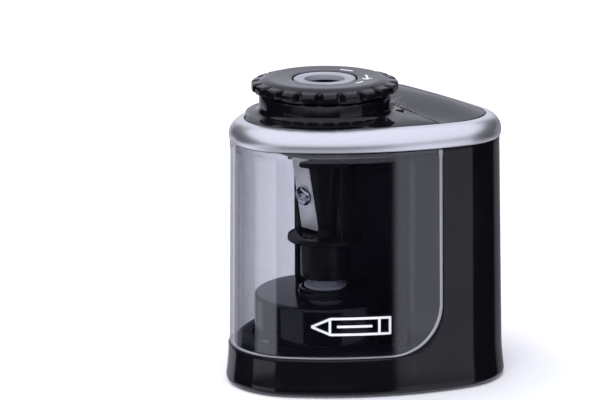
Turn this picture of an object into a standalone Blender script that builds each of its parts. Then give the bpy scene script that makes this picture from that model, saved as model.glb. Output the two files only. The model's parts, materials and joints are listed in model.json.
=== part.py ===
"""A battery pencil sharpener: egg-shaped housing, clear shavings bin, twist-off knob and geared cutter.

Lengths below are in millimetres and angles in degrees. Plan positions are taken from the cutter's
axis, with x to the right flank and y to the rear; mesh_object moves them into the frame, whose
origin is the centre of the footprint on the desk, and turns them into metres.
"""

import math

import bmesh
import bpy
from mathutils import Matrix, Vector

# Plan outline at the top of the walls: arcs that run from the nose to the rear
AXIS_Y = -9.38  # cutter axis, from the centre of the footprint
NOSE = 32.0  # cutter axis to nose
OUTLINE = ((21.0, 47.5), (94.0, 36.0), (20.2, 93.0))  # radius and turn of nose, flank and corner

RIM_POINTS = 60

# Heights
DESK_GAP = 0.5
SEAM_Z = 12.5  # top of the base band, under the bin
RING_Z = 79.4  # bottom of the trim band
COVER_Z = 86.3  # edge of the top covers
COLLAR_Z = 93.1
KNOB_Z = 98.1
DRUM_Z = 27.5

# Walls and gaps
WALL = 1.8
GAP = 0.3
HOUSING_DRAFT = 1.3  # how much wider the housing is at SEAM_Z than at RING_Z
BIN_DRAFT = 0.87
FOOT_FLARE = 2.2

# Window and bin
WINDOW_Y = 19.0
WINDOW_CORNER = 16.5
BIN_FLOOR = 14.3
BIN_FENCE_Z = 24.0
DECK_REAR = 19.5
BIN_HALF = 32.2  # half the floor's width, which passes the housing's round window corners
DRUM_R = 23.0

# Top
TRIM_INSET = 4.3
SEAM_R = 278.0  # plan arc between the front and rear covers
SEAM_Y = 23.0
COLLAR_R = 21.05
BOSS_R = 15.9
BOSS_Z = 74.5
CROWN_Y = 33.0
CROWN = 3.2  # rise of the rear cover over its edge
SEAM_FALL = 0.82  # share of the crown that is gone at the seam
LUGS = 21
LUG_R = 23.5
LUG_ROOT = 20.8
KNOB_HOLE = 6.4

# Cutter and drive
CUTTER_R = 12.2
BLADE_TURN = 7.1
BLADE_LEAN = 9.5
BLADE_MIDDLE = Vector((0.0, -0.0052, 0.0610))  # in metres, before the turn
HUB = (8.0, 32.6, 44.7)  # radius, bottom, top
BLADE = (-13.2, 12.0)  # its ends, from its middle
SCREW_AT = (-3.6, -1.5)  # across the blade and along it
MODULE = 0.8
OUTPUT_TEETH, IDLER_TEETH, PINION_TEETH = 44, 22, 10
IDLER_Y = MODULE * (OUTPUT_TEETH + PINION_TEETH) / 2
MOTOR_Y = IDLER_Y + MODULE * (IDLER_TEETH + PINION_TEETH) / 2
MOTOR_R = 10.5

# Batteries, as the plan positions of the right-hand cells
CORNER_CENTRE = (19.5, 29.9)
CELL_REACH = 10.0
CELL_ANGLES = (-5.0, 95.0)
CELL_R = 7.1
CELL_Z = (6.6, 56.6)
DOOR_Y = 21.3
DOOR_AXIS = (22.2, 1.9)

COLOURS = {
    "black_gloss": ((0.012, 0.012, 0.018), 0.18, 0.0),
    "black_satin": ((0.018, 0.018, 0.022), 0.45, 0.0),
    "smoke_clear": ((0.30, 0.30, 0.34), 0.08, 0.0),
    "silver": ((0.62, 0.62, 0.66), 0.32, 0.9),
    "light_grey": ((0.42, 0.42, 0.46), 0.4, 0.0),
    "smoke_black": ((0.04, 0.035, 0.035), 0.2, 0.0),
    "steel": ((0.62, 0.62, 0.6), 0.25, 1.0),
    "brass": ((0.7, 0.5, 0.2), 0.3, 1.0),
    "nylon": ((0.75, 0.74, 0.7), 0.5, 0.0),
    "copper": ((0.6, 0.27, 0.13), 0.4, 1.0),
    "rubber": ((0.03, 0.03, 0.03), 0.85, 0.0),
    "cell_wrap": ((0.06, 0.16, 0.30), 0.35, 0.0),
    "red": ((0.5, 0.03, 0.02), 0.5, 0.0),
}


# Objects and modifiers


def material(name, colour):
    base, roughness, metallic = COLOURS[colour]
    made = bpy.data.materials.new(name)
    made.use_nodes = True
    shader = made.node_tree.nodes["Principled BSDF"]
    shader.inputs["Base Color"].default_value = (*base, 1.0)
    shader.inputs["Roughness"].default_value = roughness
    shader.inputs["Metallic"].default_value = metallic
    made.diffuse_color = (*base, 1.0)
    return made


def mesh_object(name, bm, colour, origin=(0.0, 0.0, 0.0)):
    """One sub-part from a bmesh in plan millimetres, with its origin on its joint's axis."""
    bmesh.ops.recalc_face_normals(bm, faces=bm.faces)
    bm.transform(Matrix.Translation(-Vector(origin)))
    bm.transform(Matrix.Scale(0.001, 4))
    mesh = bpy.data.meshes.new(name)
    bm.to_mesh(mesh)
    bm.free()
    mesh.shade_smooth()
    mesh.set_sharp_from_angle(angle=math.radians(35))
    mesh.materials.append(material(name, colour))
    made = bpy.data.objects.new(name, mesh)
    made.location = (0.001 * origin[0], 0.001 * (origin[1] + AXIS_Y), 0.001 * origin[2])
    bpy.context.collection.objects.link(made)
    return made


def cutter_object(name, bm):
    made = mesh_object(name, bm, "red")
    made.hide_render = True
    made.display_type = "WIRE"
    return made


def boolean(target, tool, operation="DIFFERENCE"):
    step = target.modifiers.new(tool.name, "BOOLEAN")
    step.operation = operation
    step.object = tool
    step.solver = "EXACT"


# Shapes


def circle(radius, z, count=32, at=(0.0, 0.0)):
    turns = (2 * math.pi * i / count for i in range(count))
    return [(at[0] + radius * math.sin(a), at[1] - radius * math.cos(a), z) for a in turns]


def arc_centres(offset):
    """The outline's arcs at an offset, each as its centre, radius and first and last heading."""
    x, y, heading = 0.0, -NOSE - offset, 0.0
    arcs = []
    for radius, turn in OUTLINE:
        reach = radius + offset
        last = heading + math.radians(turn)
        centre = (x - reach * math.sin(heading), y + reach * math.cos(heading))
        arcs.append((centre, reach, heading, last))
        x, y = centre[0] + reach * math.sin(last), centre[1] - reach * math.cos(last)
        heading = last
    reach = x / math.sin(heading)
    arcs.append(((0.0, y + reach * math.cos(heading)), reach, heading, math.pi))
    return arcs


def reach_to_outline(angle, offset, about):
    """Distance from (0, about) to the outline; the angle runs from the nose to the rear."""
    ray = (math.sin(angle), -math.cos(angle))
    best = None
    for (cx, cy), radius, first, last in arc_centres(offset):
        q = (cx, cy - about)
        along = q[0] * ray[0] + q[1] * ray[1]
        reach = along + math.sqrt(max(along**2 - q[0] ** 2 - q[1] ** 2 + radius**2, 0.0))
        heading = math.atan2(reach * ray[0] - q[0], q[1] - reach * ray[1])
        miss = max(first - heading, heading - last, 0.0)
        if best is None or miss < best[0]:
            best = (miss, reach)
    return best[1]


def rim(offset, z, count=RIM_POINTS, about=0.0, front=-99.0, rear=99.0):
    """The outline at an offset, by equal angles about a point, cut off straight at front and rear."""
    points = []
    for i in range(count):
        angle = 2 * math.pi * i / count
        reach = reach_to_outline(min(angle, 2 * math.pi - angle), offset, about)
        x, y = reach * math.sin(angle), -reach * math.cos(angle)
        limit = rear - about if y > 0 else front - about
        if abs(y) > abs(limit):
            x, y = x * limit / y, limit
        points.append((x, y + about, z))
    return points


def loft(rings, closed=False):
    """Skin over rings of equal counts; closed joins the last ring to the first, like a tyre."""
    bm = bmesh.new()
    loops = [[bm.verts.new(point) for point in ring] for ring in rings]
    following = loops[1:] + loops[:1] if closed else loops[1:]
    for low, high in zip(loops, following):
        for i, corner in enumerate(low):
            j = (i + 1) % len(low)
            bm.faces.new((corner, low[j], high[j], high[i]))
    if not closed:
        bm.faces.new(loops[0][::-1])
        bm.faces.new(loops[-1])
    return bm


def turned(profile, count=32, at=(0.0, 0.0), closed=True):
    """A ring turned from a closed profile of (radius, z), or a solid one when not closed."""
    return loft([circle(radius, z, count, at) for radius, z in profile], closed)


def cylinder(radius, bottom, top, count=24, at=(0.0, 0.0)):
    return turned(((radius, bottom), (radius, top)), count, at, closed=False)


def tube(inner, outer, bottom, top, count=24, at=(0.0, 0.0)):
    return turned(((inner, bottom), (outer, bottom), (outer, top), (inner, top)), count, at)


def block(low, high):
    """A box between two corners."""
    corners = ((low[0], low[1]), (high[0], low[1]), (high[0], high[1]), (low[0], high[1]))
    return loft([[(x, y, z) for x, y in corners] for z in (low[2], high[2])])


def prism(outline, bottom, top):
    return loft([[(x, y, z) for x, y in outline] for z in (bottom, top)])


def polar(radius, angle, at=(0.0, 0.0)):
    """Plan point at an angle that runs from +x towards +y."""
    turn = math.radians(angle)
    return at[0] + radius * math.cos(turn), at[1] + radius * math.sin(turn)


def pipe(path, radius, sides=6):
    """A round wire along points that turn gently, with flat ends."""
    rings = []
    for i, point in enumerate(path):
        ahead = Vector(path[min(i + 1, len(path) - 1)]) - Vector(path[max(i - 1, 0)])
        turn = ahead.to_track_quat("Z", "Y").to_matrix()
        ring = []
        for k in range(sides):
            a = 2 * math.pi * k / sides
            ring.append(Vector(point) + turn @ Vector((radius * math.cos(a), radius * math.sin(a), 0.0)))
        rings.append(ring)
    return loft(rings)


def coil(radius, bottom, top, turns, wire, at=(0.0, 0.0), top_radius=None, steps=12):
    """A compression spring, conical when its top radius differs."""
    path = []
    count = int(turns * steps)
    for i in range(count + 1):
        part = i / count
        reach = radius + ((top_radius or radius) - radius) * part
        x, y = polar(reach, 360 * turns * part, at)
        path.append((x, y, bottom + wire + (top - bottom - 2 * wire) * part))
    return pipe(path, wire, sides=4)


def gear_outline(teeth, first_tooth, at):
    """Straight-flanked teeth of short depth with some backlash; first_tooth is a tooth's angle."""
    pitch_r = MODULE * teeth / 2
    half = MODULE * math.pi / 4 - 0.11
    points = []
    for i in range(teeth):
        middle = math.radians(first_tooth) + 2 * math.pi * i / teeth
        flank = ((-1.1, -1), (0.72, -1), (0.72, 1), (-1.1, 1))
        for depth, side in flank:
            reach = pitch_r + depth * MODULE
            width = half - depth * MODULE * math.tan(math.radians(22))
            angle = middle + side * min(width / reach, 0.94 * math.pi / teeth)
            points.append((at[0] + reach * math.cos(angle), at[1] + reach * math.sin(angle)))
    return points


def gear(teeth, first_tooth, bottom, top, bore, at):
    """A spur gear with a bore whose wall has as many points as the teeth."""
    outline = gear_outline(teeth, first_tooth, at)
    inner = []
    for x, y in outline:
        angle = math.atan2(y - at[1], x - at[0])
        inner.append((at[0] + bore * math.cos(angle), at[1] + bore * math.sin(angle)))
    rings = ((outline, bottom), (outline, top), (inner, top), (inner, bottom))
    return loft([[(x, y, z) for x, y in points] for points, z in rings], closed=True)


# Housing


def wall_offset(z, draft):
    return draft * (RING_Z - z) / (RING_Z - SEAM_Z)


def window_side(gap):
    """The window's opening seen from the side, as (y, z): square in front, round at its lower rear."""
    edge, seam, radius = WINDOW_Y - gap, SEAM_Z + gap, WINDOW_CORNER - gap
    points = [(-60.0, 120.0), (-60.0, seam)]
    for step in range(7):
        y, z = polar(radius, -90 + 15 * step, (edge - radius, seam + radius))
        points.append((y, z))
    points.append((edge, 120.0))
    return points


def window_block(name, gap):
    side = window_side(gap)
    return cutter_object(name, loft([[(x, y, z) for y, z in side] for x in (-60.0, 60.0)]))


def make_housing():
    top = RING_Z - GAP
    outer = ((1.2, DESK_GAP), (1.95, 1.1), (FOOT_FLARE, 2.6), (HOUSING_DRAFT, SEAM_Z), (0.0, top))
    inner = ((-WALL, top), (HOUSING_DRAFT - WALL, SEAM_Z), (-WALL, 3.4), (-WALL, DESK_GAP))
    housing = mesh_object("main_housing", loft([rim(*ring) for ring in outer + inner], True), "black_gloss")
    boolean(housing, window_block("window_opening", 0.0))


def make_bin():
    """The clear wall, its floor with a slot for the drum, and two low rear walls."""
    top = RING_Z - 0.4
    seam = SEAM_Z + 0.25
    outer = ((BIN_DRAFT, SEAM_Z), (wall_offset(top, BIN_DRAFT), top))
    inner = ((outer[1][0] - WALL, top), (BIN_DRAFT - WALL, SEAM_Z))
    bin_wall = mesh_object("shavings_bin", loft([rim(*ring) for ring in outer + inner], True), "smoke_clear")
    boolean(bin_wall, window_block("bin_edge", 0.25), "INTERSECT")
    floor = [(max(-BIN_HALF, min(BIN_HALF, x)), y) for x, y, _ in rim(-0.75, 0.0, rear=WINDOW_Y - 1.0)]
    boolean(bin_wall, cutter_object("bin_floor", prism(floor, seam, BIN_FLOOR)), "UNION")
    slot_r = DRUM_R + 0.9
    for side, word in ((-1, "left"), (1, "right")):
        near, far = sorted((side * (slot_r - 1), side * 30.3))
        wall = block((near, WINDOW_Y - 3.6, seam + 0.4), (far, WINDOW_Y - 2.0, BIN_FENCE_Z))
        boolean(bin_wall, cutter_object(f"bin_rear_wall_{word}", wall), "UNION")
    slot = [(-slot_r, 40.0)] + [polar(slot_r, 180 + 10 * i) for i in range(19)] + [(slot_r, 40.0)]
    boolean(bin_wall, cutter_object("bin_slot", prism(slot, 0.0, 30.0)))


def chamber_outline():
    """The black liner behind the cutter: a wall across the body with cheeks that run forward."""
    outer, inner = [], []
    for y in (9.8, 12.3, 14.8, 17.3, 20.2):
        outer.append((half_width(y, -3.0), y))
    for y in (9.8, 12.3, 14.3):
        inner.append((half_width(y, -4.8), y))
    inner += [polar(4.0, angle, (inner[-1][0] - 4.0, 14.4)) for angle in (15, 40, 65, 90)]
    right = outer + [(-x, y) for x, y in outer[::-1]]
    return right + [(-x, y) for x, y in inner] + inner[::-1]


def half_width(y, offset):
    """Half the outline's width at a distance behind the cutter axis."""
    for (cx, cy), radius, first, last in arc_centres(offset):
        if cy - radius * math.cos(first) <= y <= cy - radius * math.cos(last):
            return cx + math.sqrt(radius**2 - (y - cy) ** 2)
    raise ValueError("outside the outline")


def make_inside():
    top = RING_Z - 0.1
    ring_count = 48
    liner = prism(chamber_outline(), SEAM_Z + 3.3, top)
    liner = mesh_object("chamber_liner", liner, "black_satin")
    boolean(liner, cutter_object("drum_pocket", cylinder(DRUM_R + 0.3, 0.0, DRUM_Z + 0.3, ring_count)))
    deck = (SEAM_Z - 2.9, SEAM_Z - 2.3)
    # The gearbox cover: a thin deck under the bin, and the drum that stands up through the bin's slot
    rings = [
        rim(-2.8, deck[0], ring_count, rear=DECK_REAR),
        rim(-2.8, deck[1], ring_count, rear=DECK_REAR),
        circle(DRUM_R, deck[1], ring_count),
        circle(DRUM_R - 0.1, DRUM_Z - 0.9, ring_count),
        circle(DRUM_R - 0.9, DRUM_Z, ring_count),
        circle(6.3, DRUM_Z, ring_count),
        circle(6.3, DRUM_Z - 1.6, ring_count),
        circle(DRUM_R - 1.8, DRUM_Z - 1.6, ring_count),
        circle(DRUM_R - 1.8, deck[0], ring_count),
    ]
    mesh_object("gearbox_cover", loft(rings, True), "black_gloss")


# Base


def make_base():
    """The plate on the desk, the battery door behind it with its latch, feet and screws."""
    floor = (1.0, 2.8)
    plate = loft([rim(-2.2, z, rear=DOOR_Y - 0.7) for z in floor])
    plate = mesh_object("bottom_plate", plate, "black_satin")
    tongue = cutter_object("plate_tongue", block((-8.6, DOOR_Y - 3, floor[0]), (8.6, 42.6, floor[1])))
    boolean(plate, tongue, "UNION")
    outline = [(x, y) for x, y, _ in rim(-2.6, 0.0, 96, about=30.0) if y > DOOR_Y + 0.6]
    ends = ((half_width(DOOR_Y, -2.6), DOOR_Y), (-half_width(DOOR_Y, -2.6), DOOR_Y))
    notch = [(9.2, DOOR_Y), (9.2, 43.2), (-9.2, 43.2), (-9.2, DOOR_Y)]
    plan = notch + [ends[1]] + sorted_round(outline) + [ends[0]]
    door = prism(plan, *floor)
    mesh_object("battery_door", door, "black_satin", (0.0, *DOOR_AXIS))
    latch = block((-5.0, 45.6, floor[1] + GAP), (5.0, 46.8, 7.8))
    mesh_object("door_latch", latch, "black_satin", (0.0, *DOOR_AXIS))
    spots = {"nose_left": (-12, -19), "nose_right": (12, -19)}
    spots |= {"left": (-29.5, 12), "right": (29.5, 12), "tail": (0, 38)}
    for name, spot in spots.items():
        foot = turned(((3.6, 0.0), (4.0, 0.4), (4.0, floor[0] - GAP)), 14, spot, closed=False)
        mesh_object(f"foot_{name}", foot, "rubber")
    for number, spot in enumerate(((-22, -4), (22, -4), (-12, 17), (12, 17)), 1):
        head = turned(((2.6, floor[0] - 0.45), (2.6, floor[0] - GAP / 2)), 12, spot, closed=False)
        mesh_object(f"base_screw_{number}", head, "steel")


def sorted_round(points):
    """Points in order about the middle of the door, from the left end over the rear to the right."""
    return sorted(points, key=lambda p: math.atan2(p[0], p[1] - 30.0))


# Drive


def make_drive():
    """Two gear stages on a plate, from the motor's pinion over an idler to the output gear."""
    plate = (3.3, 4.2)
    low, high = (4.7, 6.9), (7.4, 9.3)
    idler, motor = (0.0, IDLER_Y), (0.0, MOTOR_Y)
    tail = [polar(20.2, a) for a in range(-200, 21, 20)]
    tail += [(10.6, 24.0), (6.0, 40.2), (-6.0, 40.2), (-10.6, 24.0)]
    mesh_object("gearbox_base", prism(tail, *plate), "black_satin")
    half_pitch = 180.0 / OUTPUT_TEETH
    output = gear(OUTPUT_TEETH, 90 + half_pitch, *high, 2.6, (0.0, 0.0))
    mesh_object("output_gear", output, "nylon")
    big = gear(IDLER_TEETH, 90 + 180.0 / IDLER_TEETH, *low, 1.8, idler)
    idler_gear = mesh_object("idler_gear", big, "nylon", (*idler, 0.0))
    small = gear(PINION_TEETH, -90, low[1] - 1.0, high[1], 1.8, idler)
    boolean(idler_gear, cutter_object("idler_step", small), "UNION")
    mesh_object("idler_pin", cylinder(1.5, plate[1] + 0.1, high[1] + 0.2, 16, idler), "steel")
    mesh_object("motor_pinion", gear(PINION_TEETH, -90, *low, 1.2, motor), "brass", (*motor, 0.0))
    mesh_object("motor_shaft", cylinder(0.95, 4.4, 40.5, 12, motor), "steel", (*motor, 0.0))
    can = [(1.4, 12.5), (3.0, 12.5), (3.0, 13.4), (MOTOR_R, 13.4), (MOTOR_R, 38.0)]
    can += [(9.8, 38.0), (9.8, 14.4), (1.4, 14.4)]
    mesh_object("motor_can", turned(can, 28, motor), "steel")
    mesh_object("motor_magnets", tube(8.9, 9.5, 16.0, 32.0, 24, motor), "rubber")
    mesh_object("motor_armature", tube(1.25, 8.4, 17.0, 31.0, 20, motor), "copper", (*motor, 0.0))
    mesh_object("motor_end_cap", tube(1.4, MOTOR_R, 38.3, 40.0, 24, motor), "nylon")
    bridge = (SEAM_Z - 2.9, SEAM_Z - 0.9)
    plan = [(-9.6, DRUM_R + 0.6), (9.6, DRUM_R + 0.6), (9.6, 44.5), (-9.6, 44.5)]
    bracket = mesh_object("motor_bracket", prism(plan, *bridge), "black_satin")
    boolean(bracket, cutter_object("bracket_hole", cylinder(3.4, 0.0, 14.0, 16, motor)))


def make_cutter():
    """Spindle, press collar and spring, then the caged cutter with its blade and screw."""
    mesh_object("spindle", cylinder(2.0, 6.2, 41.0, 16), "steel")
    collar = [(2.2, 20.0), (7.0, 20.0), (7.0, 21.2), (5.3, 21.2), (5.3, 29.2)]
    collar += [(6.8, 29.2), (6.8, 30.1), (5.3, 30.2), (5.3, 32.3), (2.2, 32.3)]
    mesh_object("press_collar", turned(collar, 28), "light_grey")
    mesh_object("return_spring", coil(4.2, 10.2, 19.7, 4, 0.35), "steel")
    radius, bottom, top = HUB
    hub = [(2.3, bottom), (radius, bottom), (radius, top), (CUTTER_R, top)]
    hub += [(CUTTER_R, top + 2), (3.6, top + 2), (3.6, 42), (2.3, 42)]
    body = mesh_object("cutter_body", turned(hub, 32), "smoke_black")
    cone = [(3.4, 46.0), (4.6, 50.0), (8.4, 70.5), (CUTTER_R, 70.5), (CUTTER_R, 72.3), (6.9, 72.3)]
    cone += [(6.9, 79.0), (6.2, 79.0), (6.2, 72.0), (1.6, 50.0), (1.6, 46.0)]
    joined = [cutter_object("cutter_cone", turned(cone, 32))]
    for side in (-1, 1):
        near, far = sorted((side * 8.6, side * 11.4))
        joined.append(cutter_object(f"cutter_post_{side}", block((near, -3.0, top + 1), (far, 3.0, 71.4))))
    for tool in joined:
        boolean(body, tool, "UNION")
    seat = block((-9.5, -14.0, BLADE[0] - 1.0), (1.4, 0.65, BLADE[1] + 1.5))
    boolean(body, tilted(cutter_object("blade_seat", seat)))
    boolean(body, tilted(cutter_object("shaving_slot", block((-1.3, -14.0, -9.0), (1.5, 2.4, 10.0)))))
    blade = tilted(mesh_object("cutter_blade", block((-7.6, -0.45, BLADE[0]), (0.4, 0.35, BLADE[1])), "steel"))
    boolean(blade, tilted(cutter_object("blade_hole", upright(cylinder(1.7, -3.0, 3.0, 12), SCREW_AT))))
    screw = ((1.4, -0.3), (1.4, 0.75), (3.3, 0.75), (3.3, 1.6), (2.3, 2.5), (0.5, 2.7))
    tilted(mesh_object("blade_screw", upright(turned(screw, 16, closed=False), SCREW_AT), "steel"))
    for step in range(4):
        notch = cutter_object(f"collar_notch_{step}", block((-1.1, 5.0, 76.6), (1.1, 8.0, 80.0)))
        notch.rotation_euler.z = math.radians(45 + 90 * step)
        boolean(body, notch)
    for turned_piece in [body] + joined:
        turned_piece.rotation_euler.z = math.radians(BLADE_TURN)


def upright(bm, at):
    """A turned shape laid along -y, at a place in the blade's plane."""
    bm.transform(Matrix.Rotation(math.radians(90), 4, "X"))
    bm.transform(Matrix.Translation((at[0], 0.0, at[1])))
    return bm


def tilted(made):
    """Lays a piece that was made about the blade's middle on the side of the cone."""
    place = Matrix.Rotation(math.radians(BLADE_TURN), 4, "Z") @ Matrix.Translation(BLADE_MIDDLE)
    made.matrix_basis = made.matrix_basis @ place @ Matrix.Rotation(math.radians(BLADE_LEAN), 4, "X")
    return made


# Power


def cells():
    """Plan centres of the four cells."""
    for side in (-1, 1):
        for angle in CELL_ANGLES:
            x, y = polar(CELL_REACH, angle, CORNER_CENTRE)
            yield side * x, y


def make_power():
    """Four cells in two twin tubes, a spring under each on the door, and a strip over each pair."""
    for number, spot in enumerate(cells(), 1):
        wrap = ((CELL_R, CELL_Z[0]), (CELL_R, CELL_Z[1] - 1.2), (2.7, CELL_Z[1] - 1.2), (2.7, CELL_Z[1]))
        mesh_object(f"battery_cell_{number}", turned(wrap, 18, spot, closed=False), "cell_wrap")
        spring = coil(4.6, 3.1, CELL_Z[0] - 0.3, 3, 0.3, spot, top_radius=2.4, steps=8)
        mesh_object(f"battery_spring_{number}", spring, "steel", (0.0, *DOOR_AXIS))
    for side in (-1, 1):
        mine = [spot for spot in cells() if spot[0] * side > 0]
        word = "right" if side > 0 else "left"
        tubes = [cylinder(8.3, 8.0, CELL_Z[1] - 0.2, 28, spot) for spot in mine]
        holder = mesh_object(f"battery_tube_{word}", tubes[0], "black_satin")
        boolean(holder, cutter_object(f"second_tube_{word}", tubes[1]), "UNION")
        for index, spot in enumerate(mine):
            bore = cutter_object(f"cell_bore_{word}_{index}", cylinder(7.45, 0.0, 70.0, 28, spot))
            boolean(holder, bore)
        corners = ((-3.0, -3.0), (3.0, 3.0))
        ends = [(x + side * across, y + along) for x, y in mine for across, along in corners]
        strip = prism([ends[0], ends[1], ends[3], ends[2]], CELL_Z[1] + 0.3, CELL_Z[1] + 0.8)
        mesh_object(f"battery_bridge_{word}", strip, "steel")


def make_switches():
    """The start switch under the press collar's flange, and the bin switch in the drum's front."""
    mesh_object("start_switch", block((8.6, -3.2, 12.0), (14.6, 3.2, 17.6)), "black_satin")
    mesh_object("start_leaf", block((5.9, -1.6, 17.9), (14.4, 1.6, 18.2)), "brass")
    mesh_object("bin_switch", block((-3.0, -16.8, 11.0), (3.0, -12.5, 17.0)), "black_satin")
    seam = SEAM_Z + 0.25
    front = -DRUM_R - 0.6
    mesh_object("bin_switch_plunger", block((-1.2, front, seam + 0.1), (1.2, -18.0, BIN_FLOOR)), "light_grey")
    hole = block((-1.5, front - 1, seam - 0.2), (1.5, -19.0, BIN_FLOOR + 0.3))
    boolean(bpy.data.objects["gearbox_cover"], cutter_object("plunger_hole", hole))


# Top


def dome_height(x, y):
    """Height of the rear cover, highest behind the middle and lower towards its front seam."""
    angle = math.atan2(abs(x), CROWN_Y - y)
    share = math.hypot(x, y - CROWN_Y) / reach_to_outline(angle, -TRIM_INSET - GAP, CROWN_Y)
    ahead = min(max(CROWN_Y + 5.0 - y, 0.0) / 15.0, 1.0)
    return COVER_Z + CROWN * (1 - min(share, 1.0) ** 2.2) * (1 - SEAM_FALL * ahead**1.6)


def seam_block(name, gap, rear):
    """Everything on one side of the seam between the covers, with the gap taken off."""
    reach = SEAM_R + gap
    seam = [polar(reach, 90 + 1.5 * i, (0.0, SEAM_Y - SEAM_R)) for i in range(-8, 9)]
    far = 90.0 if rear else -90.0
    plan = seam + [(seam[-1][0], far), (seam[0][0], far)]
    return cutter_object(name, prism(plan, 60.0, 110.0))


def make_top():
    """The trim band, the frame under it, the front cover with the knob's collar, and the rear dome."""
    profile = [(0.0, RING_Z)]
    shoulder = RING_Z + 1.6
    for step in range(7):
        along, up = polar(1.0, 15 * step)
        profile.append((0.6 - (TRIM_INSET + 0.6) * (1 - along), shoulder + (COVER_Z - shoulder) * up))
    profile += [(-TRIM_INSET, COVER_Z - 1.6), (-2.4, COVER_Z - 3.6), (-2.4, RING_Z)]
    mesh_object("trim_band", loft([rim(*ring) for ring in profile], True), "silver")

    ceiling = (RING_Z + 0.5, RING_Z + 2.2)
    hole = BOSS_R + 0.4
    rings = [rim(-2.9, z) for z in ceiling] + [circle(hole, z, RIM_POINTS) for z in ceiling[::-1]]
    frame = mesh_object("top_frame", loft(rings, True), "black_satin")

    edge = -TRIM_INSET - GAP
    under = COVER_Z - 2.2
    rings = [rim(edge, under), rim(edge, COVER_Z - 0.3), rim(edge - 0.3, COVER_Z)]
    for radius, z in (
        (24.6, COVER_Z + 0.9), (22.2, COVER_Z + 1.5), (COLLAR_R, COVER_Z + 3.0),
        (COLLAR_R, COLLAR_Z - 0.5), (COLLAR_R - 0.5, COLLAR_Z), (15.6, COLLAR_Z), (14.5, BOSS_Z),
        (BOSS_R, BOSS_Z), (BOSS_R, under - 0.6), (COLLAR_R, under),
    ):
        rings.append(circle(radius, z, RIM_POINTS))
    front = mesh_object("front_cover", loft(rings, True), "black_gloss")
    boolean(front, seam_block("front_side", -0.15, rear=False), "INTERSECT")

    rings = [rim(edge, under, about=CROWN_Y), rim(edge, COVER_Z, about=CROWN_Y)]
    for share in (0.93, 0.82, 0.66, 0.48, 0.3, 0.12):
        plan = [(x * share, CROWN_Y + (y - CROWN_Y) * share) for x, y, _ in rings[0]]
        rings.append([(x, y, dome_height(x, y)) for x, y in plan])
    rear = mesh_object("rear_cover", loft(rings), "black_gloss")
    boolean(rear, seam_block("rear_side", 0.15, rear=True), "INTERSECT")
    shank = ((1.4, ceiling[0] - 5), (1.4, ceiling[1] + 0.15), (2.6, ceiling[1] + 0.15), (2.6, ceiling[1] + 1.0))
    for number, spot in enumerate(((-26, 26), (26, 26), (0, 44)), 1):
        mesh_object(f"top_screw_{number}", turned(shank, 12, spot, False), "steel")
        boolean(frame, cutter_object(f"screw_hole_{number}", cylinder(1.8, 60, 84, 12, spot)))


# Knob


def lug_ring(reach, z):
    """The knob's rim with its lugs standing out to a given radius."""
    points = []
    for lug in range(LUGS):
        for turn, radius in ((0.0, LUG_ROOT), (0.16, reach), (0.70, reach), (0.86, LUG_ROOT)):
            angle = 2 * math.pi * (lug + turn) / LUGS
            points.append((radius * math.sin(angle), -radius * math.cos(angle), z))
    return points


def knob_circle(radius, z):
    ring = lug_ring(LUG_ROOT, z)
    return [(x * radius / LUG_ROOT, y * radius / LUG_ROOT, z) for x, y, _ in ring]


def make_knob():
    """The lugged knob, its bush, and the pencil guide that hangs inside the collar."""
    low = COLLAR_Z + GAP
    rings = [lug_ring(LUG_R - 0.5, low), lug_ring(LUG_R, low + 0.5), lug_ring(LUG_R, KNOB_Z - 2.1)]
    rings += [lug_ring(LUG_R - 0.9, KNOB_Z - 1.5), knob_circle(20.2, KNOB_Z - 0.9)]
    rings.append(knob_circle(18.6, KNOB_Z - 0.15))
    for radius, z in (
        (16.0, KNOB_Z), (10.2, KNOB_Z), (10.2, KNOB_Z - 2.5), (9.0, KNOB_Z - 2.5), (9.0, low - 1.5),
        (12.3, low - 1.5), (12.3, 84.0), (14.0, 84.0), (14.0, low),
    ):
        rings.append(knob_circle(radius, z))
    mesh_object("knob", loft(rings, True), "black_gloss")
    mesh_object("knob_insert", tube(KNOB_HOLE, 9.95, KNOB_Z - 2.2, KNOB_Z - 0.3, 32), "light_grey")
    guide = [(KNOB_HOLE, 80.2), (8.0, 80.2), (8.0, 90.0), (11.9, 90.0), (11.9, low - 1.8)]
    guide += [(8.0, low - 1.8), (8.0, KNOB_Z - 2.7), (KNOB_HOLE, KNOB_Z - 2.7)]
    mesh_object("pencil_guide", turned(guide, 28), "black_satin")


for old in list(bpy.data.objects):
    bpy.data.objects.remove(old)
make_housing()
make_bin()
make_inside()
make_base()
make_drive()
make_cutter()
make_power()
make_switches()
make_top()
make_knob()
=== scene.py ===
"""The looks of a battery pencil sharpener: a gloss black housing, a smoke-clear shavings bin, a satin
silver band, and a lugged knob over a caged cutter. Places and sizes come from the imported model's boxes."""

import json
import math

import bmesh
import bpy
from mathutils import Matrix, Vector


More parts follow.
